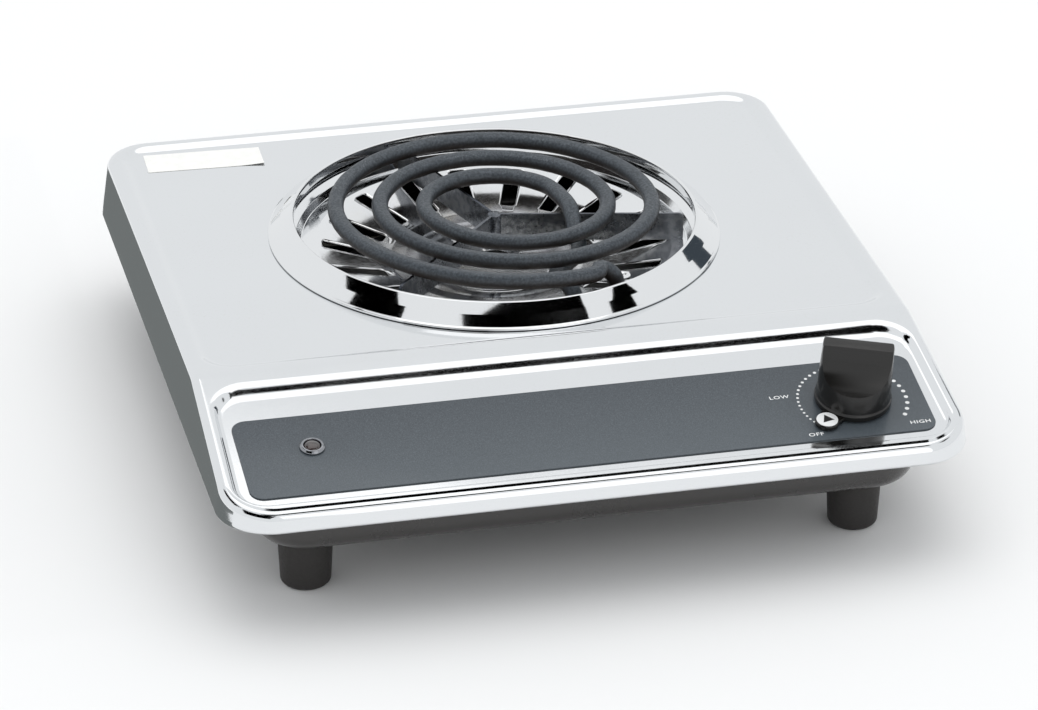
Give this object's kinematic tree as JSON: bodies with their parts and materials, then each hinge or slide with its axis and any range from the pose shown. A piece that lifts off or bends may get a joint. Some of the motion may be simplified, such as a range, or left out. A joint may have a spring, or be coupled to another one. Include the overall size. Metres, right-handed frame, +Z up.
{
  "type": "hot plate burner",
  "caption": "Countertop electric hot plate with a chrome shell, coil element in a trim ring and bowl, sloping control tray with a turning knob, and feet.",
  "frame": {"origin": "on the table under the middle of the body", "axes": "+X to the right of someone facing the controls, +Y away from them, +Z up"},
  "size_m": [0.323, 0.34, 0.0921],
  "materials": {
    "chrome": "polished",
    "black_enamel": "satin",
    "coil_sheath": "oxidised, matte",
    "plain_steel": "satin",
    "nameplate": "gloss",
    "black_plastic": "gloss",
    "rubber": "matte",
    "white_mark": "satin",
    "pilot_lens": "gloss",
    "zinc": "zinc plated",
    "ceramic": "unglazed ceramic",
    "wire": "braided sleeve",
    "label": "paper",
    "aluminium": "mill finish"
  },
  "bodies": {
    "chassis": {"base_pan": "black_enamel", "blank_label": "label", "control_blade_1": "zinc", "control_blade_2": "zinc", "control_blade_3": "zinc", "control_blade_4": "zinc", "control_body": "black_plastic", "control_nut": "zinc", "cord_inlet_bush": "black_plastic", "drip_bowl": "chrome", "foot_front_left": "rubber", "foot_front_right": "rubber", "foot_nut_front_left": "zinc", "foot_nut_front_right": "zinc", "foot_nut_rear_left": "zinc", "foot_nut_rear_right": "zinc", "foot_rear_left": "rubber", "foot_rear_right": "rubber", "foot_screw_front_left": "zinc", "foot_screw_front_right": "zinc", "foot_screw_rear_left": "zinc", "foot_screw_rear_right": "zinc", "heat_shield": "aluminium", "lead_control_to_coil": "wire", "lead_inlet_to_coil": "wire", "lead_inlet_to_control": "wire", "lead_pilot": "wire", "nameplate": "nameplate", "pilot_bezel": "chrome", "pilot_lamp_body": "black_plastic", "pilot_lens": "pilot_lens", "pilot_push_nut": "zinc", "shell_screw_front_left": "zinc", "shell_screw_front_right": "zinc", "shell_screw_rear_left": "zinc", "shell_screw_rear_right": "zinc", "terminal_block": "ceramic", "terminal_bracket": "zinc", "top_shell": "chrome"},
    "control_knob": {"knob": "black_plastic", "knob_pointer": "white_mark", "control_shaft": "zinc"},
    "ring": {"trim_ring": "chrome"},
    "element": {"heating_coil": "coil_sheath", "support_spider": "plain_steel", "terminal_blade_inner": "zinc", "terminal_blade_outer": "zinc"}
  },
  "joints": [
    {"name": "knob_turn", "type": "hinge", "parent": "chassis", "child": "control_knob", "pos_m": [0.1162, -0.1315, 0.06087], "axis": [0, -0.1942, 0.981], "range_deg": [-255, 0]},
    {"name": "trim_ring_lift", "type": "slide", "parent": "chassis", "child": "ring", "axis": [0, 0, 1], "range_m": [0, 0.06]},
    {"name": "element_tip_up", "type": "hinge", "parent": "chassis", "child": "element", "pos_m": [0.04064, -0.05513, 0.061], "axis": [0.9205, 0.3907, 0], "range_deg": [0, 15]}
  ]
}
